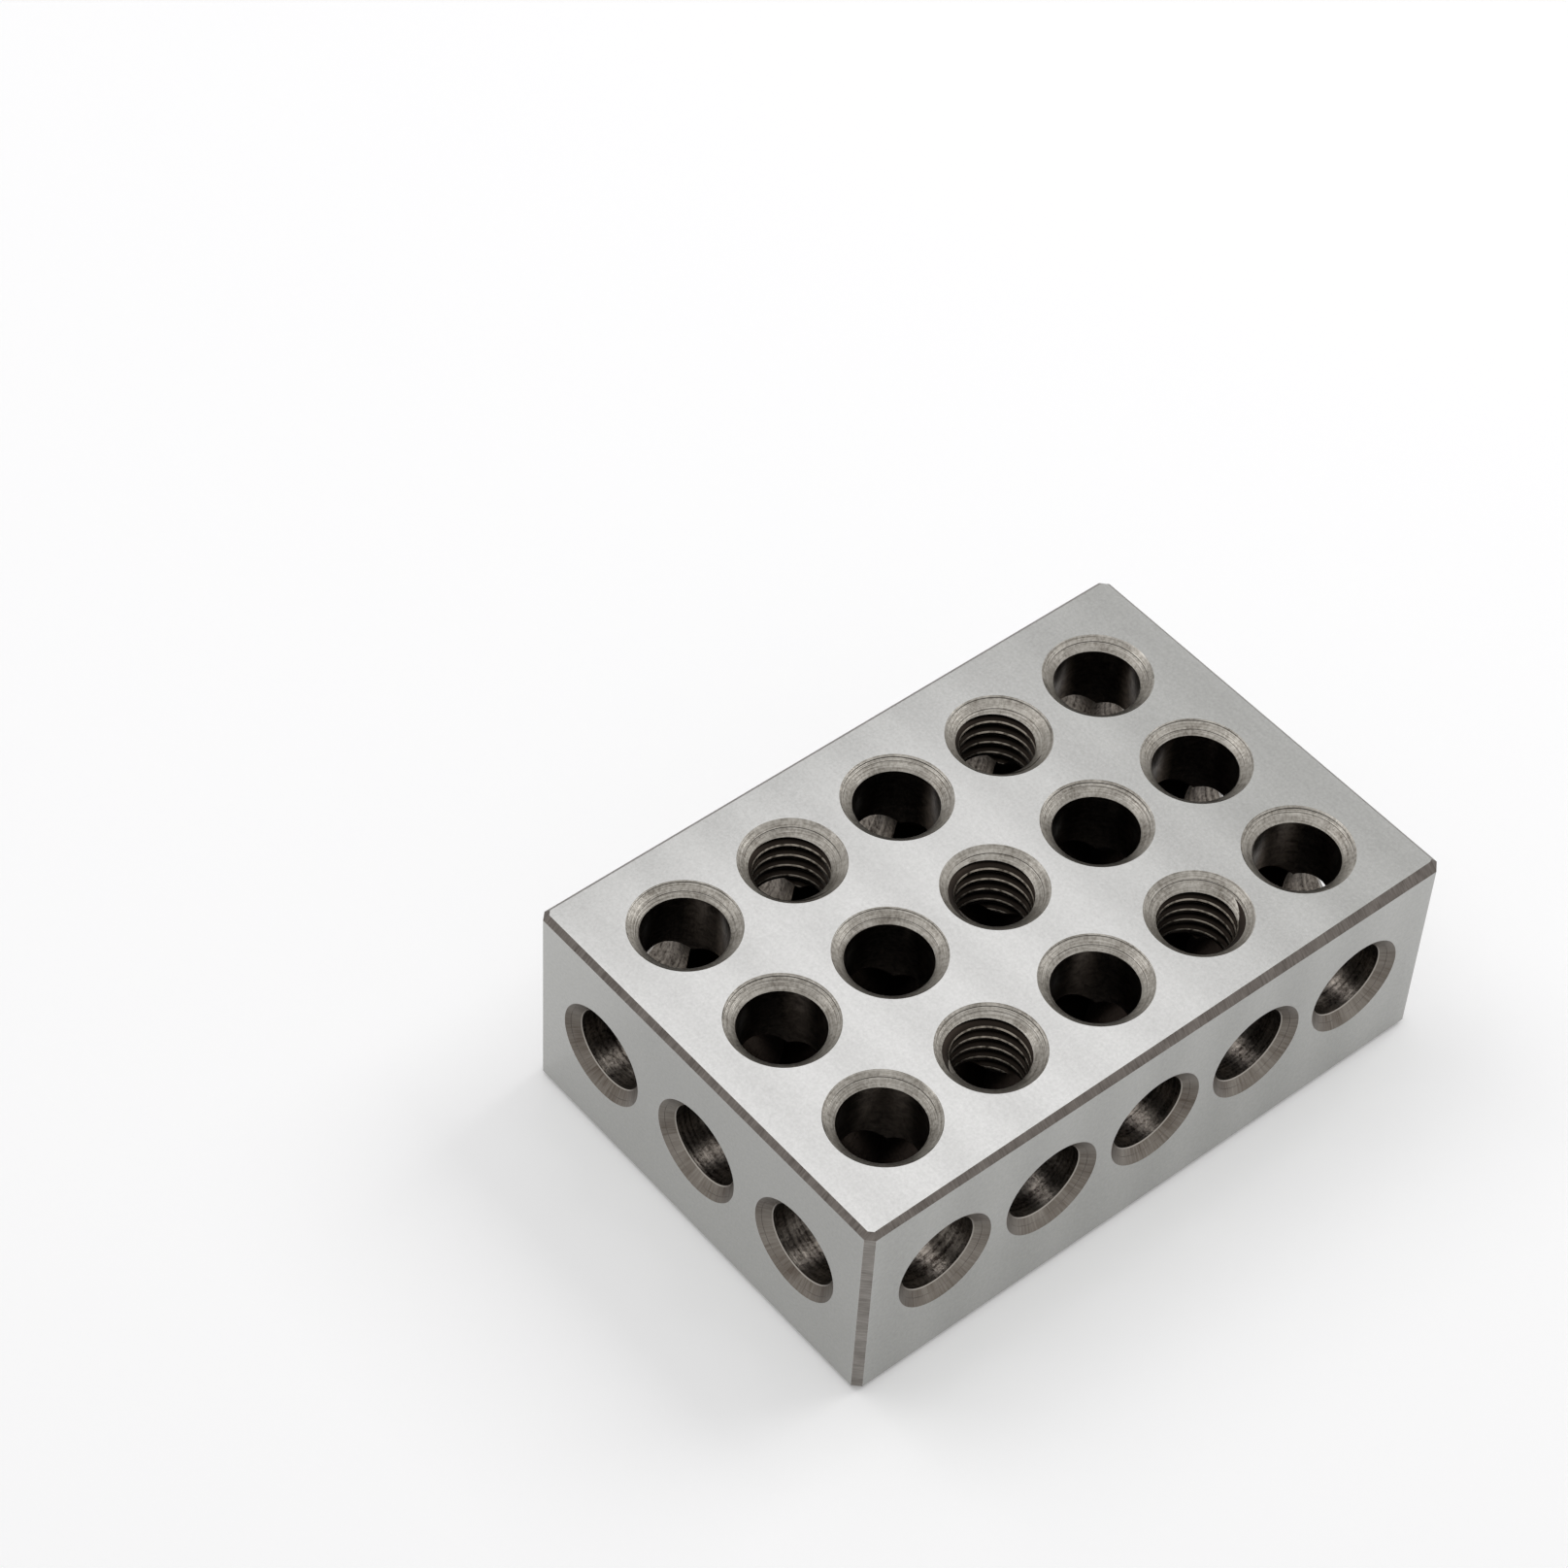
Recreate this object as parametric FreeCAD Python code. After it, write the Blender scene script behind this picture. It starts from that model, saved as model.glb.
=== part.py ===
"""A machinist's setup block: one hardened steel block, drilled and tapped across all three of its axes.

Millimetres, +Z up. The origin is the centre of the bottom face. X runs along the block's length,
Y across its width and Z through its height.
"""
import FreeCAD, Part
import math
import os

from FreeCAD import Vector

# The block
length = 76.2
width = 50.8
height = 25.4
rimChamfer = 0.6          # along the edges of the two largest faces
cornerChamfer = 0.8       # along the four upright edges

# Where the holes stand: columns along X, rows along Y
columns = 5
rows = 3
endMargin = 10.4          # from an end face to the outer columns
sideMargin = 10.3         # from a side face to the outer rows
crossHoleRise = 0.7       # of the holes across the width, above mid-height

# The holes
plainBore = 9.13
tapDrill = 7.94           # 3/8-16 before tapping
plainSink = 11.8          # mouth of the countersink at the face
tappedSink = 11.3
sinkAngle = 100.0         # included angle

columnPitch = (length - 2 * endMargin) / (columns - 1)
rowPitch = (width - 2 * sideMargin) / (rows - 1)
midHeight = height / 2
alongX = Vector(1, 0, 0)
alongY = Vector(0, 1, 0)
alongZ = Vector(0, 0, 1)


def blankBlock():
    """The ground blank, with every edge broken by a flat chamfer."""
    x, y, c = length / 2, width / 2, cornerChamfer
    corners = [
        (-x + c, -y), (x - c, -y), (x, -y + c), (x, y - c),
        (x - c, y), (-x + c, y), (-x, y - c), (-x, -y + c),
    ]
    outline = Part.makePolygon([Vector(px, py, 0) for px, py in corners + corners[:1]])
    prism = Part.Face(outline).extrude(alongZ * height)
    rimEdges = [edge for face in prism.Faces if abs(face.normalAt(0, 0).z) > 0.5 for edge in face.Edges]
    return prism.makeChamfer(rimChamfer, rimEdges)


def holeCutter(depth, bore, sink):
    """What a drill and two countersinks take out along Z, from z = 0 to z = depth."""
    flare = math.tan(math.radians(sinkAngle / 2))
    sinkDepth = (sink - bore) / 2 / flare
    past = rimChamfer     # the cutter runs on outside both faces
    mouth = sink / 2 + past * flare
    profile = [
        (0, -past), (mouth, -past), (bore / 2, sinkDepth),
        (bore / 2, depth - sinkDepth), (mouth, depth + past), (0, depth + past),
    ]
    wire = Part.makePolygon([Vector(r, 0, z) for r, z in profile + profile[:1]])
    return Part.Face(wire).revolve(Vector(), alongZ, 360)


def placed(cutter, start, direction):
    """A copy of the cutter with its z = 0 end at start, pointing along direction."""
    copy = cutter.copy()
    copy.Placement = FreeCAD.Placement(start, FreeCAD.Rotation(alongZ, direction))
    return copy


def columnX(column):
    return (column - (columns - 1) / 2) * columnPitch


def rowY(row):
    return (row - (rows - 1) / 2) * rowPitch


def isTapped(column, row):
    """The tapped holes lie on the two diagonals through the middle hole."""
    return abs(2 * column - (columns - 1)) == abs(2 * row - (rows - 1))


def uprightHoles():
    """The grid of plain and tapped holes through the two largest faces."""
    plain = holeCutter(height, plainBore, plainSink)
    tapped = holeCutter(height, tapDrill, tappedSink)
    return [
        placed(tapped if isTapped(column, row) else plain, Vector(columnX(column), rowY(row), 0), alongZ)
        for column in range(columns)
        for row in range(rows)
    ]


def crossHoles():
    """One hole across the width for each column of upright holes."""
    cutter = holeCutter(width, plainBore, plainSink)
    z = midHeight + crossHoleRise
    return [placed(cutter, Vector(columnX(column), -width / 2, z), alongY) for column in range(columns)]


def endHoles():
    """One hole along the length for each row of upright holes."""
    cutter = holeCutter(length, plainBore, plainSink)
    return [placed(cutter, Vector(-length / 2, rowY(row), midHeight), alongX) for row in range(rows)]


def setupBlock():
    return blankBlock().cut(uprightHoles() + crossHoles() + endHoles())


os.makedirs("parts", exist_ok=True)
block = setupBlock()
block.exportStep("parts/setup_block.step")
print("setup_block: volume", round(block.Volume), "mm3,", len(block.Faces), "faces, valid", block.isValid())
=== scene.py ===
import math

import bmesh
import bpy
from mathutils import Matrix, Vector


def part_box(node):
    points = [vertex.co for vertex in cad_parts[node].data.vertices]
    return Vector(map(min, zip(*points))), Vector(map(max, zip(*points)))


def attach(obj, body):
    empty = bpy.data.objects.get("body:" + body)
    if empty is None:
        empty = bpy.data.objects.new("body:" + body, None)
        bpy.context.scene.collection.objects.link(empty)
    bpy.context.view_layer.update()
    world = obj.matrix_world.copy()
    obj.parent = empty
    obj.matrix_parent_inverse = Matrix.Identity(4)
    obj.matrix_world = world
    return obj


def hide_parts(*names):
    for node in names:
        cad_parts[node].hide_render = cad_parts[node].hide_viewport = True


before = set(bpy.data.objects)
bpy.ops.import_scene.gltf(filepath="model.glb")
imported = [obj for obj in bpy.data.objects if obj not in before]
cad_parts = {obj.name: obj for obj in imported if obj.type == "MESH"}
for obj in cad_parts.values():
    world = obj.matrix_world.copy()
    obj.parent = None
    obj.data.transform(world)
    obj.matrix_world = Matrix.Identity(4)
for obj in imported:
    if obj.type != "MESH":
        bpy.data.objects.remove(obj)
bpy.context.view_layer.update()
low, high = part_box("setup_block")
middle = (low + high) / 2
size = high - low
mm = 0.001
tiny = 0.01 * mm
up = Vector((0, 0, 1))
mapName = "lay"  # the piece's UV map, in millimetres: along or round the surface, then across or down it


def linear(hexColour):
    parts = [int(hexColour[i:i + 2], 16) / 255 for i in (1, 3, 5)]
    return [c / 12.92 if c <= 0.04045 else ((c + 0.055) / 1.055) ** 2.4 for c in parts] + [1]


def addNode(tree, kind, inputs=None, **settings):
    node = tree.nodes.new("ShaderNode" + kind)
    for name, value in settings.items():
        setattr(node, name, value)
    for name, value in (inputs or {}).items():
        if isinstance(value, bpy.types.NodeSocket):
            tree.links.new(value, node.inputs[name])
        else:
            node.inputs[name].default_value = value
    return node


def startMaterial(name):
    material = bpy.data.materials.new(name)
    material.use_nodes = True
    material.node_tree.nodes.clear()
    return material, material.node_tree


# Hardened tool steel off a surface grinder: an even satin grey with a sandy sparkle,
# and a faint lighter band for each pass of the wheel
groundSteel = {
    "light": "#B3B3B0", "dark": "#9D9D9A",
    "grain": 0.3,        # mm; real wheel marks are ten times finer and wouldn't show
    "lineLength": 1.6,   # mm, of the streaks along the grinding
    "pass": 8.7,         # mm, from one pass of the wheel to the next
    "firstPass": -30.0,  # mm, where along the block a band is lightest
    "patches": 0.7,      # to each pass, the broad ones that make the bands uneven
    "lineShare": 0.35, "bandShare": 0.22, "patchShare": 0.1, "toneRange": (0.3, 1.15),
    "patchRange": (0.3, 0.7), "roughness": (0.13, 0.17),
    "relief": 0.0009,    # mm
}


def makeGroundSteel():
    look = groundSteel
    material, tree = startMaterial("ground hardened tool steel")
    place = addNode(tree, "TexCoord").outputs["Object"]
    inMm = addNode(tree, "Mapping", {"Vector": place, "Scale": (1 / mm, 1 / mm, 1 / mm)}).outputs[0]
    grain = addNode(tree, "TexNoise", {"Vector": inMm, "Scale": 1 / look["grain"], "Detail": 3.0,
                                       "Roughness": 0.6}).outputs[0]
    lineScale = (1 / look["grain"], 1 / look["lineLength"], 1 / look["grain"])
    stretched = addNode(tree, "Mapping", {"Vector": inMm, "Scale": lineScale}).outputs[0]
    lines = addNode(tree, "TexNoise", {"Vector": stretched, "Scale": 1.0, "Detail": 2.0}).outputs[0]
    broad = addNode(tree, "TexNoise", {"Vector": inMm, "Scale": look["patches"] / look["pass"],
                                       "Detail": 2.0}).outputs[0]
    along = addNode(tree, "SeparateXYZ", {"Vector": inMm}).outputs[0]
    fromFirst = addNode(tree, "Math", {0: along, 1: look["firstPass"]}, operation="SUBTRACT").outputs[0]
    turn = addNode(tree, "Math", {0: fromFirst, 1: 2 * math.pi / look["pass"]},
                   operation="MULTIPLY").outputs[0]
    wave = addNode(tree, "Math", {0: turn}, operation="COSINE").outputs[0]
    band = addNode(tree, "Math", {0: wave, 1: broad}, operation="MULTIPLY").outputs[0]
    fine = addNode(tree, "Math", {0: lines, 1: look["lineShare"], 2: grain},
                   operation="MULTIPLY_ADD").outputs[0]
    banded = addNode(tree, "Math", {0: band, 1: look["bandShare"], 2: fine},
                     operation="MULTIPLY_ADD").outputs[0]
    tone = addNode(tree, "Math", {0: broad, 1: look["patchShare"], 2: banded},
                   operation="MULTIPLY_ADD").outputs[0]
    darkest, lightest = look["toneRange"]
    mixed = addNode(tree, "MapRange", {"Value": tone, "From Min": darkest, "From Max": lightest}).outputs[0]
    colour = addNode(tree, "Mix", {0: mixed, 6: linear(look["dark"]), 7: linear(look["light"])},
                     data_type="RGBA").outputs[2]
    fromPatch, toPatch = look["patchRange"]
    smoothest, roughest = look["roughness"]
    rough = addNode(tree, "MapRange", {"Value": broad, "From Min": fromPatch, "From Max": toPatch,
                                       "To Min": smoothest, "To Max": roughest}).outputs[0]
    relief = addNode(tree, "Bump", {"Height": fine, "Distance": look["relief"] * mm}).outputs[0]
    steel = addNode(tree, "BsdfPrincipled", {"Base Color": colour, "Metallic": 1.0, "Roughness": rough,
                                             "Normal": relief}).outputs[0]
    addNode(tree, "OutputMaterial", {"Surface": steel})
    return material


# The same steel where the upright corners were broken on a belt: darker and warmer, scratched square across
cornerSteel = {
    "name": "belt-broken corner steel", "light": "#96928D", "dark": "#645F5A",
    "scratch": 0.24,     # mm between scratches; the finer ones between them don't show
    "reach": 2.5,        # mm, how long a scratch runs
    "patch": 2.5,        # mm
    "patchShare": 0.4, "toneRange": (0.45, 0.95),
    "roughness": 0.4,
    "relief": 0.012,     # mm
}

# The long edges were broken the same way; their darker colour is painted shade, standing in for the dark
# reflection of a second block and its shadow, which the scene leaves out
paintedShadeRimSteel = {
    "name": "belt-broken rim steel with painted shade", "light": "#7A746F", "dark": "#4D4743",
    "scratch": 0.24, "reach": 2.5, "patch": 2.5,    # mm
    "patchShare": 0.4, "toneRange": (0.45, 0.95),
    "roughness": 0.42,
    "relief": 0.012,     # mm
}


def makeBrokenEdgeSteel(look):
    material, tree = startMaterial(look["name"])
    lay = addNode(tree, "UVMap", uv_map=mapName).outputs[0]
    scratchScale = (1 / look["scratch"], 1 / look["reach"], 1)
    across = addNode(tree, "Mapping", {"Vector": lay, "Scale": scratchScale}).outputs[0]
    scratches = addNode(tree, "TexNoise", {"Vector": across, "Scale": 1.0, "Detail": 4.0,
                                           "Roughness": 0.7}).outputs[0]
    patches = addNode(tree, "TexNoise", {"Vector": lay, "Scale": 1 / look["patch"],
                                         "Detail": 1.0}).outputs[0]
    tone = addNode(tree, "Math", {0: patches, 1: look["patchShare"], 2: scratches},
                   operation="MULTIPLY_ADD").outputs[0]
    darkest, lightest = look["toneRange"]
    mixed = addNode(tree, "MapRange", {"Value": tone, "From Min": darkest, "From Max": lightest}).outputs[0]
    colour = addNode(tree, "Mix", {0: mixed, 6: linear(look["dark"]), 7: linear(look["light"])},
                     data_type="RGBA").outputs[2]
    relief = addNode(tree, "Bump", {"Height": scratches, "Distance": look["relief"] * mm}).outputs[0]
    steel = addNode(tree, "BsdfPrincipled", {"Base Color": colour, "Metallic": 1.0,
                                             "Roughness": look["roughness"], "Normal": relief}).outputs[0]
    addNode(tree, "OutputMaterial", {"Surface": steel})
    return material


# Turned countersinks in the large faces: grey cones with the uneven rings of the cutter
turnedSteel = {
    "light": "#A5A19A", "dark": "#575149",
    "ring": 0.1,         # mm down the hole from ring to ring
    "arc": 6.0,          # mm round the hole before a ring changes
    "pit": 0.3,          # mm, the small marks that break the rings up
    "patch": 2.5,        # mm
    "pitShare": 0.7, "patchShare": 0.5, "toneRange": (0.8, 1.3),
    "roughness": 0.32,
    "relief": 0.03,      # mm
}

# Countersinks in the narrow faces: browner, with the cutter's chatter running down the cone
chatteredSteel = {
    "light": "#89847D", "dark": "#483E36",
    "hair": 0.22,        # mm round the cone from one chatter mark to the next
    "hairLength": 2.0,   # mm down the cone
    "patch": 4.0,        # mm, of the brown left by cutting oil
    "patchShare": 1.4, "toneRange": (0.72, 1.65),
    "roughness": 0.38,
    "relief": 0.012,     # mm
}


def makeTurnedSteel():
    look = turnedSteel
    material, tree = startMaterial("turned countersink steel")
    lay = addNode(tree, "UVMap", uv_map=mapName).outputs[0]
    ringScale = (1 / look["arc"], 1 / look["ring"], 1)
    rings = addNode(tree, "Mapping", {"Vector": lay, "Scale": ringScale}).outputs[0]
    ring = addNode(tree, "TexNoise", {"Vector": rings, "Scale": 1.0, "Detail": 4.0,
                                      "Roughness": 0.7}).outputs[0]
    pit = addNode(tree, "TexNoise", {"Vector": lay, "Scale": 1 / look["pit"], "Detail": 3.0,
                                     "Roughness": 0.6}).outputs[0]
    patch = addNode(tree, "TexNoise", {"Vector": lay, "Scale": 1 / look["patch"], "Detail": 2.0}).outputs[0]
    marks = addNode(tree, "Math", {0: pit, 1: look["pitShare"], 2: ring},
                    operation="MULTIPLY_ADD").outputs[0]
    tone = addNode(tree, "Math", {0: patch, 1: look["patchShare"], 2: marks},
                   operation="MULTIPLY_ADD").outputs[0]
    darkest, lightest = look["toneRange"]
    mixed = addNode(tree, "MapRange", {"Value": tone, "From Min": darkest, "From Max": lightest}).outputs[0]
    colour = addNode(tree, "Mix", {0: mixed, 6: linear(look["dark"]), 7: linear(look["light"])},
                     data_type="RGBA").outputs[2]
    relief = addNode(tree, "Bump", {"Height": marks, "Distance": look["relief"] * mm}).outputs[0]
    steel = addNode(tree, "BsdfPrincipled", {"Base Color": colour, "Metallic": 1.0,
                                             "Roughness": look["roughness"], "Normal": relief}).outputs[0]
    addNode(tree, "OutputMaterial", {"Surface": steel})
    return material


def makeChatteredSteel():
    look = chatteredSteel
    material, tree = startMaterial("chattered countersink steel")
    lay = addNode(tree, "UVMap", uv_map=mapName).outputs[0]
    hairScale = (1 / look["hair"], 1 / look["hairLength"], 1)
    hairs = addNode(tree, "Mapping", {"Vector": lay, "Scale": hairScale}).outputs[0]
    hair = addNode(tree, "TexNoise", {"Vector": hairs, "Scale": 1.0, "Detail": 3.0,
                                      "Roughness": 0.6}).outputs[0]
    patch = addNode(tree, "TexNoise", {"Vector": lay, "Scale": 1 / look["patch"], "Detail": 2.0}).outputs[0]
    tone = addNode(tree, "Math", {0: patch, 1: look["patchShare"], 2: hair},
                   operation="MULTIPLY_ADD").outputs[0]
    darkest, lightest = look["toneRange"]
    mixed = addNode(tree, "MapRange", {"Value": tone, "From Min": darkest, "From Max": lightest}).outputs[0]
    colour = addNode(tree, "Mix", {0: mixed, 6: linear(look["dark"]), 7: linear(look["light"])},
                     data_type="RGBA").outputs[2]
    relief = addNode(tree, "Bump", {"Height": hair, "Distance": look["relief"] * mm}).outputs[0]
    steel = addNode(tree, "BsdfPrincipled", {"Base Color": colour, "Metallic": 1.0,
                                             "Roughness": look["roughness"], "Normal": relief}).outputs[0]
    addNode(tree, "OutputMaterial", {"Surface": steel})
    return material


# Upright bores are coloured nearly black, with hardly a ring to be seen
boreSteel = {
    "light": "#625B54", "dark": "#302A26",
    "mottle": 0.8, "ring": 0.5, "arc": 10.0,        # mm
    "mottleShare": 1.2, "ringShare": 0.4, "contrast": 0.25,
    "roughness": 0.3, "relief": 0.01,    # mm
}

# Bores across and along the block are brown-grey, mottled and plainly ringed near their mouths;
# further in, their colour goes to black, which is painted shade
crossBoreSteel = {
    "light": "#8A837B", "dark": "#2F2925", "paintedShade": "#2A2420",
    "mottle": 0.4, "ring": 0.42, "arc": 10.0,       # mm; the rings are a drill's feed apart
    "mottleShare": 1.1, "ringShare": 1.0, "contrast": 0.25,
    "roughness": 0.33, "relief": 0.03,   # mm
    "paintedShadeFade": (8.5, 12.5),                # mm in from the mouth, where the painted shade begins and is full
}


def makeDrilledSteel(name, look, length):
    # length is the bore's, in mm: the painted shade of its middle stretch is measured from both mouths
    material, tree = startMaterial(name)
    lay = addNode(tree, "UVMap", uv_map=mapName).outputs[0]
    mottle = addNode(tree, "TexNoise", {"Vector": lay, "Scale": 1 / look["mottle"], "Detail": 4.0,
                                        "Roughness": 0.65, "Distortion": 0.6}).outputs[0]
    ringScale = (1 / look["arc"], 1 / look["ring"], 1)
    rings = addNode(tree, "Mapping", {"Vector": lay, "Scale": ringScale}).outputs[0]
    ring = addNode(tree, "TexNoise", {"Vector": rings, "Scale": 1.0, "Detail": 2.0}).outputs[0]
    mottled = addNode(tree, "Math", {0: mottle, 1: look["mottleShare"]}, operation="MULTIPLY").outputs[0]
    tone = addNode(tree, "Math", {0: ring, 1: look["ringShare"], 2: mottled},
                   operation="MULTIPLY_ADD").outputs[0]
    average = (look["mottleShare"] + look["ringShare"]) / 2
    mixed = addNode(tree, "MapRange", {"Value": tone, "From Min": average - look["contrast"],
                                       "From Max": average + look["contrast"]}).outputs[0]
    colour = addNode(tree, "Mix", {0: mixed, 6: linear(look["dark"]), 7: linear(look["light"])},
                     data_type="RGBA").outputs[2]
    # blackens the bore away from its mouths: painted shade
    if "paintedShadeFade" in look:
        down = addNode(tree, "SeparateXYZ", {"Vector": lay}).outputs[1]
        fromMiddle = addNode(tree, "Math", {0: down, 1: length / 2}, operation="SUBTRACT").outputs[0]
        away = addNode(tree, "Math", {0: fromMiddle}, operation="ABSOLUTE").outputs[0]
        begins, full = look["paintedShadeFade"]
        paintedShadeFade = addNode(tree, "MapRange", {"Value": away, "From Min": length / 2 - full,
                                           "From Max": length / 2 - begins}).outputs[0]
        colour = addNode(tree, "Mix", {0: paintedShadeFade, 6: linear(look["paintedShade"]), 7: colour},
                         data_type="RGBA").outputs[2]
    relief = addNode(tree, "Bump", {"Height": tone, "Distance": look["relief"] * mm}).outputs[0]
    steel = addNode(tree, "BsdfPrincipled", {"Base Color": colour, "Metallic": 1.0,
                                             "Roughness": look["roughness"], "Normal": relief}).outputs[0]
    addNode(tree, "OutputMaterial", {"Surface": steel})
    return material


# Tapped grooves hold oil and scale, so their flanks are nearly black; the crests are rubbed grey.
# The rims of the side holes are burrs whose lighter colour is a painted highlight for their glint
tappedSteel = {
    "flank": "#241F1B", "flankRoughness": (0.32, 0.57),
    "blotches": 1.1,     # to the mm, where the oil lies thicker
    "crest": "#8A8379", "nickedCrest": "#35302A", "crestRoughness": 0.3,
    "nick": 0.625,       # mm
    "nickRange": (0.3, 0.55),
    # the rim's light colour is a painted highlight
    "rim": "#96918A", "rimRoughness": 0.35,
}


def makeFlankSteel():
    look = tappedSteel
    material, tree = startMaterial("tapped flank steel")
    lay = addNode(tree, "UVMap", uv_map=mapName).outputs[0]
    blotch = addNode(tree, "TexNoise", {"Vector": lay, "Scale": look["blotches"], "Detail": 3.0}).outputs[0]
    smoothest, roughest = look["flankRoughness"]
    rough = addNode(tree, "MapRange", {"Value": blotch, "To Min": smoothest, "To Max": roughest}).outputs[0]
    steel = addNode(tree, "BsdfPrincipled", {"Base Color": linear(look["flank"]), "Metallic": 1.0,
                                             "Roughness": rough}).outputs[0]
    addNode(tree, "OutputMaterial", {"Surface": steel})
    return material


def makeCrestSteel():
    look = tappedSteel
    material, tree = startMaterial("rubbed crest steel")
    lay = addNode(tree, "UVMap", uv_map=mapName).outputs[0]
    nick = addNode(tree, "TexNoise", {"Vector": lay, "Scale": 1 / look["nick"], "Detail": 3.0}).outputs[0]
    nicked, whole = look["nickRange"]
    mixed = addNode(tree, "MapRange", {"Value": nick, "From Min": nicked, "From Max": whole}).outputs[0]
    colour = addNode(tree, "Mix", {0: mixed, 6: linear(look["nickedCrest"]), 7: linear(look["crest"])},
                     data_type="RGBA").outputs[2]
    steel = addNode(tree, "BsdfPrincipled", {"Base Color": colour, "Metallic": 1.0,
                                             "Roughness": look["crestRoughness"]}).outputs[0]
    addNode(tree, "OutputMaterial", {"Surface": steel})
    return material


# a lighter steel for the side holes' rims: painted highlight
def makePaintedGlintRimSteel():
    look = tappedSteel
    material, tree = startMaterial("burr rim steel with painted highlight")
    steel = addNode(tree, "BsdfPrincipled", {"Base Color": linear(look["rim"]), "Metallic": 1.0,
                                             "Roughness": look["rimRoughness"]}).outputs[0]
    addNode(tree, "OutputMaterial", {"Surface": steel})
    return material


finishes = {
    "ground": makeGroundSteel(),
    "corner": makeBrokenEdgeSteel(cornerSteel),
    # the long rims' darker steel: its colour is painted shade
    "rimEdge": makeBrokenEdgeSteel(paintedShadeRimSteel),
    "turned": makeTurnedSteel(),
    "chattered": makeChatteredSteel(),
    "bore": makeDrilledSteel("near-black bore steel", boreSteel, size.z / mm),
    "widthBore": makeDrilledSteel("ringed width bore steel", crossBoreSteel, size.y / mm),
    "lengthBore": makeDrilledSteel("ringed length bore steel", crossBoreSteel, size.x / mm),
    "flank": makeFlankSteel(),
    "crest": makeCrestSteel(),
    "rim": makePaintedGlintRimSteel(),
}
slotOf = {name: number for number, name in enumerate(finishes)}
print("finishes:", len(finishes))


def deselect():
    bpy.ops.object.select_all(action="DESELECT")


def makeActive(piece):
    deselect()
    piece.select_set(True)
    bpy.context.view_layer.objects.active = piece


def settle(piece, name):
    # names a new primitive, puts its place and size in its mesh and gives it the finishes
    piece.name = name
    bpy.ops.object.transform_apply(location=True, rotation=True, scale=True)
    for material in finishes.values():
        piece.data.materials.append(material)
    return piece


def pick(piece, kind, test):
    # in edit mode, selects the verts, edges or faces that pass the test
    bpy.ops.mesh.select_mode(type=kind)
    bpy.ops.mesh.select_all(action="DESELECT")
    mesh = bmesh.from_edit_mesh(piece.data)
    for item in {"VERT": mesh.verts, "EDGE": mesh.edges, "FACE": mesh.faces}[kind]:
        item.select_set(bool(test(item)))
    mesh.select_flush_mode()
    bmesh.update_edit_mesh(piece.data)


def edit(piece):
    makeActive(piece)
    bpy.ops.object.mode_set(mode="EDIT")
    bpy.ops.mesh.select_mode(type="VERT")
    bpy.ops.mesh.select_all(action="SELECT")


def leaveEdit():
    bpy.ops.object.mode_set(mode="OBJECT")


blank = {
    "cornerChamfer": 0.8, "rimChamfer": 0.6,     # mm
    "strayWidth": 0.28,  # mm that the front top chamfer has gained by its right end, as hand work does
    "strayCorner": (1.2, 0.7, 1.0),              # mm in from that corner, past its chamfers' verts
    "smoothUnder": 30.0,                         # degrees between faces that shade as one
}


def makeBlank():
    deselect()
    bpy.ops.mesh.primitive_cube_add(size=1, location=middle, scale=size)
    piece = settle(bpy.context.object, "setup_block_finish")
    edit(piece)
    pick(piece, "EDGE", lambda e: abs(e.verts[0].co.z - e.verts[1].co.z) > mm)
    bpy.ops.mesh.bevel(offset=blank["cornerChamfer"] * mm, segments=1, affect="EDGES",
                       material=slotOf["corner"])
    # the long rims take the darker rim steel, whose colour is painted shade
    pick(piece, "EDGE", lambda e: abs(e.verts[0].co.z - e.verts[1].co.z) < tiny)
    bpy.ops.mesh.bevel(offset=blank["rimChamfer"] * mm, segments=1, affect="EDGES",
                       material=slotOf["rimEdge"])
    stray = blank["strayWidth"] * mm
    inX, inY, inZ = blank["strayCorner"]
    frontRight = Vector((high.x - inX * mm, low.y + inY * mm, high.z - inZ * mm))
    pick(piece, "VERT", lambda v: v.co.x > frontRight.x and v.co.y < frontRight.y
         and v.co.z > high.z - tiny)
    bpy.ops.transform.translate(value=(0, stray, 0))
    pick(piece, "VERT", lambda v: v.co.x > frontRight.x and v.co.y < low.y + tiny
         and frontRight.z < v.co.z < high.z - tiny)
    bpy.ops.transform.translate(value=(0, 0, -stray))
    leaveEdit()
    mapAlongEdges(piece)
    return piece


def mapAlongEdges(piece):
    # flat faces and chamfers: along the face's longest way, then across it
    layer = piece.data.uv_layers.new(name=mapName)
    for face in piece.data.polygons:
        along = min(range(3), key=lambda axis: abs(face.normal[axis]))
        direction = Vector([1.0 if axis == along else 0.0 for axis in range(3)])
        across = face.normal.cross(direction).normalized()
        for corner in face.loop_indices:
            spot = piece.data.vertices[piece.data.loops[corner].vertex_index].co
            layer.data[corner].uv = (spot.dot(direction) / mm, spot.dot(across) / mm)


def mapRound(piece, radius):
    # round the hole at the bore's radius, then down it
    layer = piece.data.uv_layers.new(name=mapName)
    for face in piece.data.polygons:
        facing = math.atan2(face.center.y, face.center.x)
        for corner in face.loop_indices:
            spot = piece.data.vertices[piece.data.loops[corner].vertex_index].co
            turn = math.atan2(spot.y, spot.x) - facing
            turn = (turn + math.pi) % (2 * math.pi) - math.pi
            layer.data[corner].uv = ((facing + turn) * radius, spot.z / mm)


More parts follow.
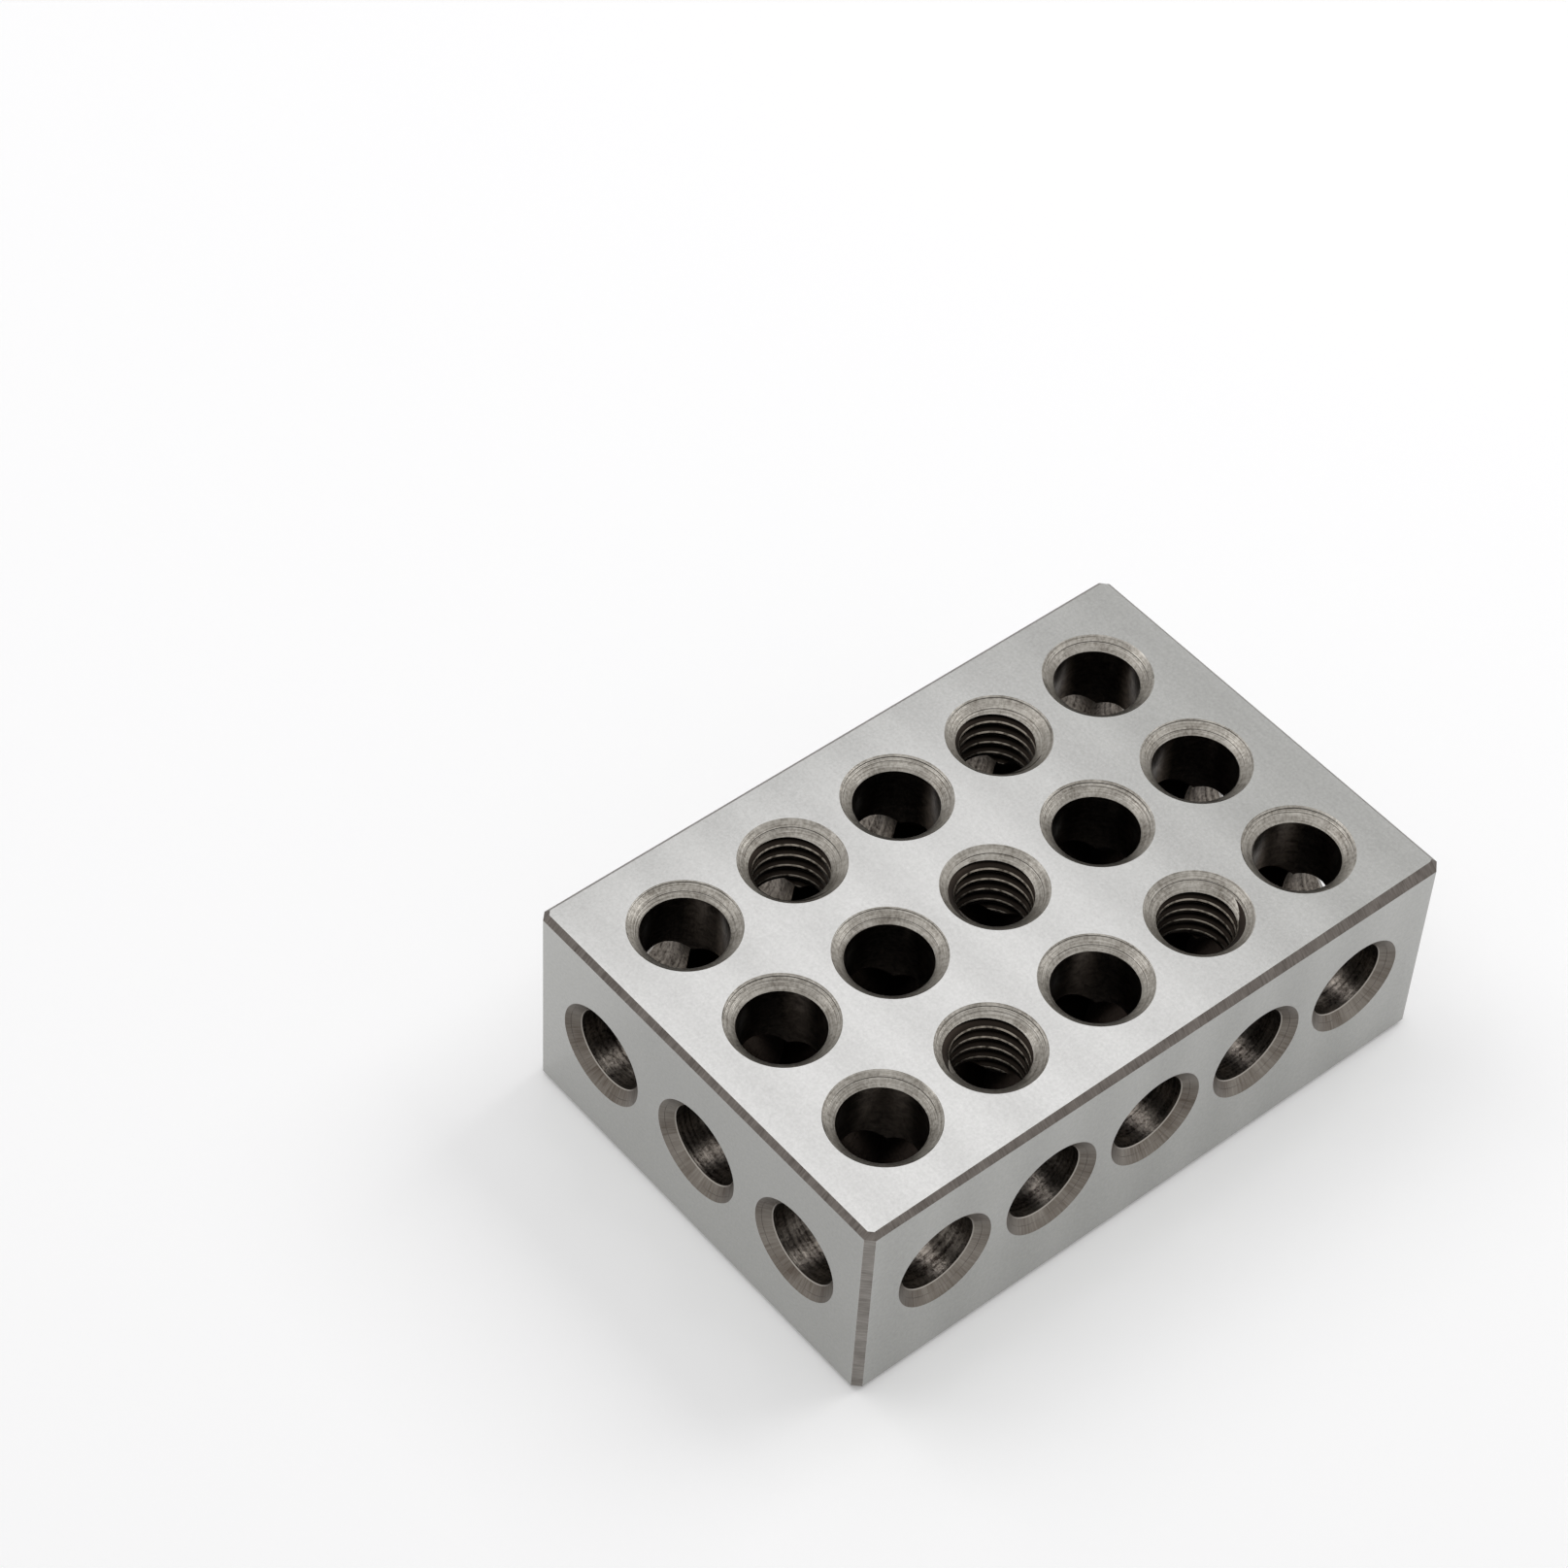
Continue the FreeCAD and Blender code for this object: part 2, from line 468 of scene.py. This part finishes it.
# in mm, and diameters where a hole is meant; the countersinks' angle is the whole cone's, in degrees
holes = {
    "plainBore": 9.13, "tapDrill": 7.94, "plainSink": 11.8, "tappedSink": 11.3, "sinkAngle": 100.0,
    "columns": 5, "rows": 3, "endMargin": 10.4, "sideMargin": 10.3,
    "crossRise": 0.7,    # how far the bores across the block stand above its middle
    "segments": 96,
    "past": 0.6,         # how far each cutter runs on outside the block
    "rim": 0.1,          # the rubbed rim between countersink and bore
    "wallLean": 0.01,    # how much narrower the foot of a ring's wall is than its top
    "turnStep": 7,       # segments that each upright hole's rings are turned on from the last
    "finishStep": 37.0,  # how far the finish moves on from hole to hole, so that no two match
}


def sinkStations(bore, sink, walls):
    # (depth, radius, finish of the band that ends there); a wall is a ring where the cutter stopped,
    # given as how far in it stands, from 0 at the mouth to 1 at the bore, and its height in mm
    flare = math.tan(math.radians(holes["sinkAngle"] / 2))
    depth = (sink - bore) / 2 / flare
    coneDepth = depth - sum(height for _, height in walls) - holes["rim"] / 2
    slope = coneDepth / ((sink - bore) / 2 - holes["rim"])
    stations = [(0, sink / 2, "sink")]
    z, radius = 0, sink / 2
    for share, height in walls:
        nextRadius = sink / 2 - share * (sink - bore) / 2
        z += (radius - nextRadius) * slope
        stations.append((z, nextRadius, "sink"))
        z, radius = z + height, nextRadius - holes["wallLean"]
        stations.append((z, radius, "rimEdge"))
    rimRadius = bore / 2 + holes["rim"]
    stations.append((depth - holes["rim"] / 2, rimRadius, "sink"))
    stations.append((depth + holes["rim"] / 2, bore / 2, "rim"))
    return stations


def makeHoleCutter(name, depth, bore, sink, sinkFinish, boreFinish, walls):
    flare = math.tan(math.radians(holes["sinkAngle"] / 2))
    past = holes["past"]
    top = sinkStations(bore, sink, walls)
    bottom = [(depth - z, radius) for z, radius, _ in reversed(top)]
    # the side holes' rim ring takes the lighter rim steel, a painted highlight
    rimFinish = "rim" if sinkFinish == "chattered" else "turned"
    bandFinish = {"sink": sinkFinish, "rim": rimFinish, "rimEdge": "rimEdge"}
    finishAt = [(z, bandFinish[finish]) for z, _, finish in top]
    mouth = sink / 2 + past * flare
    stations = [(-past, mouth)] + [(z, radius) for z, radius, _ in top] + bottom + [(depth + past, mouth)]
    deselect()
    bpy.ops.mesh.primitive_circle_add(vertices=holes["segments"], radius=mouth * mm, fill_type="NGON",
                                      location=(0, 0, -past * mm))
    piece = settle(bpy.context.object, name)
    edit(piece)
    for (z, radius), (nextZ, nextRadius) in zip(stations, stations[1:]):
        bpy.ops.mesh.extrude_region_move(TRANSFORM_OT_translate={"value": (0, 0, (nextZ - z) * mm)})
        bpy.ops.transform.resize(value=(nextRadius / radius, nextRadius / radius, 1))
    bpy.ops.mesh.select_all(action="SELECT")
    bpy.ops.mesh.normals_make_consistent(inside=False)
    leaveEdit()
    mapRound(piece, bore / 2)
    for face in piece.data.polygons:
        fromEnd = min(face.center.z / mm, depth - face.center.z / mm)
        found = [finish for z, finish in finishAt if fromEnd < z]
        face.material_index = slotOf[found[0] if found else boreFinish]
    return piece


# 3/8-16, right-handed, with the crest's corners rubbed round
tap = {
    "major": 9.525, "pitch": 1.5875, "rootFlat": 0.2, "flankAngle": 30.0, "turns": 18,
    "rubbed": 0.12, "rubAngle": 55.0,    # how far the crest's corners are worn back, and how steeply
    "under": 0.06,                       # mm that the coil reaches inside the drilled bore
    "crestTilt": (0.4, 0.75),            # how upright the normal of a worn crest face stands
}


def makeTapCoil():
    drill, outer = holes["tapDrill"] / 2, tap["major"] / 2
    knee, inner = drill + tap["rubbed"], drill - tap["under"]
    root = tap["rootFlat"] / 2
    kneeHeight = root + (outer - knee) * math.tan(math.radians(tap["flankAngle"]))
    innerHeight = kneeHeight + (knee - inner) * math.tan(math.radians(tap["rubAngle"]))
    start = -tap["pitch"] * mm
    deselect()
    bpy.ops.mesh.primitive_plane_add(size=1, location=(outer * mm, 0, start),
                                     rotation=(math.pi / 2, 0, 0))
    piece = bpy.context.object
    piece.scale = (tiny, 2 * root * mm, 1)
    settle(piece, "tap_coil")
    edit(piece)
    pick(piece, "VERT", lambda v: v.co.x < outer * mm)
    height = root
    spot = outer
    for radius, nextHeight in ((knee, kneeHeight), (inner, innerHeight)):
        bpy.ops.mesh.extrude_region_move(TRANSFORM_OT_translate={"value": ((radius - spot) * mm, 0, 0)})
        bpy.ops.transform.resize(value=(1, 1, nextHeight / height),
                                 center_override=(radius * mm, 0, start))
        spot, height = radius, nextHeight
    bpy.ops.mesh.select_all(action="SELECT")
    bpy.ops.mesh.normals_make_consistent(inside=False)
    bpy.ops.mesh.dissolve_faces()
    bpy.ops.mesh.delete(type="ONLY_FACE")
    leaveEdit()
    screw = piece.modifiers.new("turns", "SCREW")
    screw.axis = "Z"
    screw.angle = 2 * math.pi
    screw.screw_offset = tap["pitch"] * mm
    screw.iterations = tap["turns"]
    screw.steps = screw.render_steps = holes["segments"]
    bpy.ops.object.modifier_apply(modifier="turns")
    edit(piece)
    bpy.ops.mesh.select_all(action="DESELECT")
    bpy.ops.mesh.select_non_manifold()
    bpy.ops.mesh.fill_holes(sides=0)
    bpy.ops.mesh.select_all(action="SELECT")
    bpy.ops.mesh.normals_make_consistent(inside=False)
    leaveEdit()
    mapRound(piece, drill)
    least, most = tap["crestTilt"]
    for face in piece.data.polygons:
        face.material_index = slotOf["crest" if least < abs(face.normal.z) < most else "flank"]
    return piece


def placedCopy(cutter, place, direction, turn, number):
    # a cutter with a mesh of its own, its foot at place and its axis along direction
    copy = cutter.copy()
    copy.data = cutter.data.copy()
    bpy.context.scene.collection.objects.link(copy)
    aim = up.rotation_difference(direction).to_matrix().to_4x4()
    copy.data.transform(Matrix.Translation(place) @ aim @ Matrix.Rotation(math.radians(turn), 4, "Z"))
    for corner in copy.data.uv_layers[mapName].data:
        corner.uv.x += holes["finishStep"] * number
    return copy


def cut(piece, cutter):
    makeActive(piece)
    tool = piece.modifiers.new("cut", "BOOLEAN")
    tool.operation = "DIFFERENCE"
    tool.solver = "MANIFOLD"
    tool.material_mode = "TRANSFER"
    tool.object = cutter
    bpy.ops.object.modifier_apply(modifier="cut")
    bpy.data.objects.remove(cutter)


# where each tapped hole's thread starts, in degrees; the hole is given by its column and row
tapStarts = {(1, 0): 342.0, (1, 2): 81.0, (2, 1): 3.0, (3, 0): 156.0, (3, 2): 87.0}

# the walls of the countersinks, as sinkStations takes them
ringSets = ([(0.1, 0.09), (0.62, 0.07)], [(0.42, 0.1)], [(0.16, 0.12), (0.36, 0.05)])
acrossWalls = [(0.5, 0.04)]
alongWalls = [(0.35, 0.04)]


def drillBlock(piece):
    columnPitch = (size.x / mm - 2 * holes["endMargin"]) / (holes["columns"] - 1)
    rowPitch = (size.y / mm - 2 * holes["sideMargin"]) / (holes["rows"] - 1)
    columnX = [low.x + (holes["endMargin"] + n * columnPitch) * mm for n in range(holes["columns"])]
    rowY = [low.y + (holes["sideMargin"] + n * rowPitch) * mm for n in range(holes["rows"])]
    depth = size / mm
    bore, sink = holes["plainBore"], holes["plainSink"]
    plain = [makeHoleCutter(f"plain_{n}", depth.z, bore, sink, "turned", "bore", walls)
             for n, walls in enumerate(ringSets)]
    tapped = [makeHoleCutter(f"tapped_{n}", depth.z, holes["tapDrill"], holes["tappedSink"], "turned",
                             "flank", walls) for n, walls in enumerate(ringSets)]
    across = makeHoleCutter("across", depth.y, bore, sink, "chattered", "widthBore", acrossWalls)
    along = makeHoleCutter("along", depth.x, bore, sink, "chattered", "lengthBore", alongWalls)
    coil = makeTapCoil()
    step = 360 / holes["segments"] * holes["turnStep"]
    number = 0
    for column, x in enumerate(columnX):
        for row, y in enumerate(rowY):
            number += 1
            foot = Vector((x, y, low.z))
            start = tapStarts.get((column, row))
            kind = tapped if start is not None else plain
            cut(piece, placedCopy(kind[number % len(kind)], foot, up, step * number, number))
            if start is not None:
                cut(piece, placedCopy(coil, foot, up, start, number))
        number += 1
        side = Vector((x, low.y, middle.z + holes["crossRise"] * mm))
        cut(piece, placedCopy(across, side, Vector((0, 1, 0)), 0, number))
    for row, y in enumerate(rowY):
        number += 1
        cut(piece, placedCopy(along, Vector((low.x, y, middle.z)), Vector((1, 0, 0)), 0, number))
    for cutter in plain + tapped + [across, along, coil]:
        bpy.data.objects.remove(cutter)


block = makeBlank()
print("blank chamfered")
drillBlock(block)
makeActive(block)
bpy.ops.object.shade_smooth_by_angle(angle=math.radians(blank["smoothUnder"]))
edit(block)  # the ground faces are flat, so the holes' rims leave no shading across them
pick(block, "FACE", lambda face: face.material_index == slotOf["ground"])
bpy.ops.mesh.faces_shade_flat()
leaveEdit()
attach(block, "root")
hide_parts("setup_block")
print("block drilled:", len(block.data.polygons), "faces")


cameraSet = {
    "azimuth": 42.27, "elevation": 48.42, "roll": 3.48,     # degrees; azimuth from +Y towards +X
    "distance": 452.7, "aim": (-8.0, 23.5),                 # mm, to a point of the top face
    "lens": 102.04, "sensor": 36,                           # mm
    "clip": (0.01, 20),                                     # m
}


def placeCamera():
    azimuth = math.radians(cameraSet["azimuth"])
    elevation = math.radians(cameraSet["elevation"])
    roll = math.radians(cameraSet["roll"])
    look = Vector((math.sin(azimuth) * math.cos(elevation), math.cos(azimuth) * math.cos(elevation),
                   -math.sin(elevation)))
    aimX, aimY = cameraSet["aim"]
    aim = Vector((middle.x + aimX * mm, middle.y + aimY * mm, high.z))
    bpy.ops.object.camera_add(location=aim - look * cameraSet["distance"] * mm)
    camera = bpy.context.object
    camera.name = "camera"
    turn = look.to_track_quat("-Z", "Y").to_matrix() @ Matrix.Rotation(roll, 3, "Z")
    camera.rotation_euler = turn.to_euler()
    camera.data.lens = cameraSet["lens"]
    camera.data.sensor_width = cameraSet["sensor"]
    camera.data.clip_start, camera.data.clip_end = cameraSet["clip"]
    bpy.context.scene.camera = camera


def seenDirectly(tree):
    # 1 for the rays that show the background itself: from the camera, off metal or through glass
    path = addNode(tree, "LightPath")
    seen = addNode(tree, "Math", {0: path.outputs["Is Camera Ray"], 1: path.outputs["Is Glossy Ray"]},
                   operation="MAXIMUM").outputs[0]
    return addNode(tree, "Math", {0: seen, 1: path.outputs["Is Transmission Ray"]},
                   operation="MAXIMUM").outputs[0]


studio = {
    "floorSize": 6.0,                    # m
    "floorColour": "#E7E7E7", "floorGlow": 0.2,
    "worldLight": 0.42,
}

# place and size in mm, the way it faces in degrees, watts and colour; the first is the one
# that the ground top mirrors
softboxes = {
    "mirrorSoftbox": ((126, 225, 590), (505, 380), (0, 0, -6), 0.49, (1.0, 0.98, 1.04)),
    "topSoftbox": ((-60, -40, 900), (700, 700), (0, 0, 0), 0.9, (1, 1, 1)),
    "sideSoftbox": ((575, -90, 690), (500, 500), (0, 40, 0), 2.5, (1, 1, 1)),
    "backSoftbox": ((-220, 470, 740), (500, 500), (-35, 0, 25), 1.5, (1, 1, 1)),
}


def makeFloor():
    deselect()
    bpy.ops.mesh.primitive_plane_add(size=studio["floorSize"], location=(0, 0, low.z))
    floor = bpy.context.object
    floor.name = "floor"
    material, tree = startMaterial("pale paper floor")
    matt = addNode(tree, "BsdfDiffuse", {"Color": linear(studio["floorColour"])}).outputs[0]
    glow = addNode(tree, "Emission", {"Color": (1, 1, 1, 1),
                                      "Strength": studio["floorGlow"]}).outputs[0]
    lit = addNode(tree, "AddShader", {0: matt, 1: glow}).outputs[0]
    surface = addNode(tree, "MixShader", {0: seenDirectly(tree), 1: matt, 2: lit}).outputs[0]
    addNode(tree, "OutputMaterial", {"Surface": surface})
    floor.data.materials.append(material)


def makeWorld():
    world = bpy.data.worlds.new("studio")
    bpy.context.scene.world = world
    world.use_nodes = True
    tree = world.node_tree
    tree.nodes.clear()
    light = addNode(tree, "Background", {"Color": (1, 1, 1, 1),
                                         "Strength": studio["worldLight"]}).outputs[0]
    white = addNode(tree, "Background", {"Color": (1, 1, 1, 1), "Strength": 1.0}).outputs[0]
    sky = addNode(tree, "MixShader", {0: seenDirectly(tree), 1: light, 2: white}).outputs[0]
    addNode(tree, "OutputWorld", {"Surface": sky})


def makeSoftboxes():
    for name, (place, (width, depth), turn, watts, colour) in softboxes.items():
        bpy.ops.object.light_add(type="AREA", location=Vector(place) * mm,
                                 rotation=[math.radians(angle) for angle in turn])
        lamp = bpy.context.object
        lamp.name = lamp.data.name = name
        lamp.data.shape = "RECTANGLE"
        lamp.data.size = width * mm
        lamp.data.size_y = depth * mm
        lamp.data.energy = watts
        lamp.data.color = colour


placeCamera()
makeFloor()
makeWorld()
makeSoftboxes()
bpy.context.scene.view_settings.view_transform = "Standard"
print("studio set")
